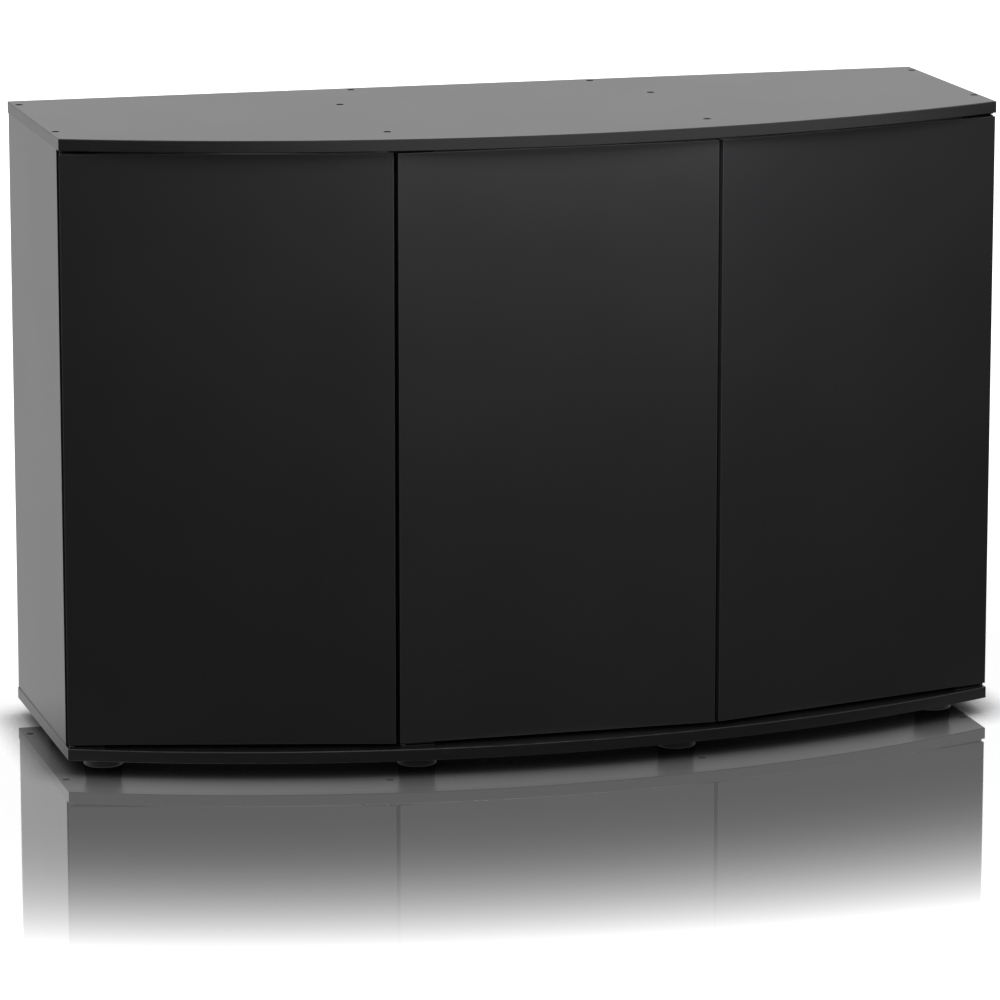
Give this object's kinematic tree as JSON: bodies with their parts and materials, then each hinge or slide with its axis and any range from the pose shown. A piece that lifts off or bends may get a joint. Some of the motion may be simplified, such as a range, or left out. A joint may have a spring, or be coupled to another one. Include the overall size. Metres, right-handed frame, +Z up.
{
  "type": "bow-front aquarium stand",
  "caption": "Flat-pack cabinet that carries a bow-front fish tank and hides its filter behind flat push-to-open doors.",
  "frame": {"origin": "on the floor, under the middle of the stand's box", "axes": "+X to the right seen from the front, +Y to the straight back, +Z up"},
  "size_m": [1.21, 0.46, 0.8],
  "materials": {
    "melamine_board": "satin black melamine on chipboard",
    "door_melamine": "satin black melamine on chipboard",
    "back_sheet": "black lacquered hardboard",
    "edge_band": "satin black edging",
    "black_screw": "blackened",
    "dowel_wood": "raw beech",
    "foot_plastic": "moulded",
    "zinc_steel": "zinc plated",
    "hinge_steel": "blackened",
    "latch_plastic": "moulded",
    "plunger_nylon": "natural nylon",
    "strike_steel": "nickel plated"
  },
  "bodies": {
    "cabinet": {"top_board": "melamine_board", "top_edge_band": "edge_band", "base_board": "melamine_board", "base_edge_band": "edge_band", "left_side_panel": "melamine_board", "left_partition": "melamine_board", "right_side_panel": "melamine_board", "right_partition": "melamine_board", "centre_back_panel": "melamine_board", "left_back_sheet": "back_sheet", "right_back_sheet": "back_sheet", "panel_edge_bands": "edge_band", "top_panel_screws": "black_screw", "base_panel_screws": "black_screw", "dowels": "dowel_wood", "foot_front_outer_left": "foot_plastic", "foot_front_outer_right": "foot_plastic", "foot_front_inner_left": "foot_plastic", "foot_front_inner_right": "foot_plastic", "foot_back_inner_left": "foot_plastic", "foot_back_inner_right": "foot_plastic", "foot_back_outer_left": "foot_plastic", "foot_back_outer_right": "foot_plastic", "foot_screws": "zinc_steel", "left_door_lower_pivot": "hinge_steel", "left_door_upper_pivot": "hinge_steel", "left_latch_housing": "latch_plastic", "middle_door_lower_pivot": "hinge_steel", "middle_door_upper_pivot": "hinge_steel", "middle_latch_housing": "latch_plastic", "right_door_lower_pivot": "hinge_steel", "right_door_upper_pivot": "hinge_steel", "right_latch_housing": "latch_plastic", "pivot_screws": "black_screw", "pivot_washers": "latch_plastic", "latch_screws": "zinc_steel", "left_shelf": "melamine_board", "right_shelf": "melamine_board", "shelf_pins": "strike_steel"},
    "left_door_leaf": {"left_door": "door_melamine", "left_door_edge_band": "edge_band", "left_door_screws": "black_screw", "left_door_lower_socket": "hinge_steel", "left_door_upper_socket": "hinge_steel", "left_strike_disc": "strike_steel"},
    "middle_door_leaf": {"middle_door": "door_melamine", "middle_door_edge_band": "edge_band", "middle_door_screws": "black_screw", "middle_door_lower_socket": "hinge_steel", "middle_door_upper_socket": "hinge_steel", "middle_strike_disc": "strike_steel"},
    "right_door_leaf": {"right_door": "door_melamine", "right_door_edge_band": "edge_band", "right_door_screws": "black_screw", "right_door_lower_socket": "hinge_steel", "right_door_upper_socket": "hinge_steel", "right_strike_disc": "strike_steel"},
    "left_plunger": {"left_latch_plunger": "plunger_nylon"},
    "middle_plunger": {"middle_latch_plunger": "plunger_nylon"},
    "right_plunger": {"right_latch_plunger": "plunger_nylon"}
  },
  "joints": [
    {"name": "left_door_hinge", "type": "hinge", "parent": "cabinet", "child": "left_door_leaf", "pos_m": [-0.59816, -0.09594, 0.41], "axis": [0, 0, -1], "range_deg": [0, 110]},
    {"name": "middle_door_hinge", "type": "hinge", "parent": "cabinet", "child": "middle_door_leaf", "pos_m": [-0.1999, -0.197, 0.41], "axis": [0, 0, -1], "range_deg": [0, 110]},
    {"name": "right_door_hinge", "type": "hinge", "parent": "cabinet", "child": "right_door_leaf", "pos_m": [0.59816, -0.09594, 0.41], "axis": [0, 0, 1], "range_deg": [0, 110]},
    {"name": "left_plunger_slide", "type": "slide", "parent": "cabinet", "child": "left_plunger", "axis": [0, 1, 0], "range_m": [0, 0.0025], "stiffness_N_per_m": 400, "springref_m": -0.003},
    {"name": "middle_plunger_slide", "type": "slide", "parent": "cabinet", "child": "middle_plunger", "axis": [0, 1, 0], "range_m": [0, 0.0025], "stiffness_N_per_m": 400, "springref_m": -0.003},
    {"name": "right_plunger_slide", "type": "slide", "parent": "cabinet", "child": "right_plunger", "axis": [0, 1, 0], "range_m": [0, 0.0025], "stiffness_N_per_m": 400, "springref_m": -0.003}
  ]
}
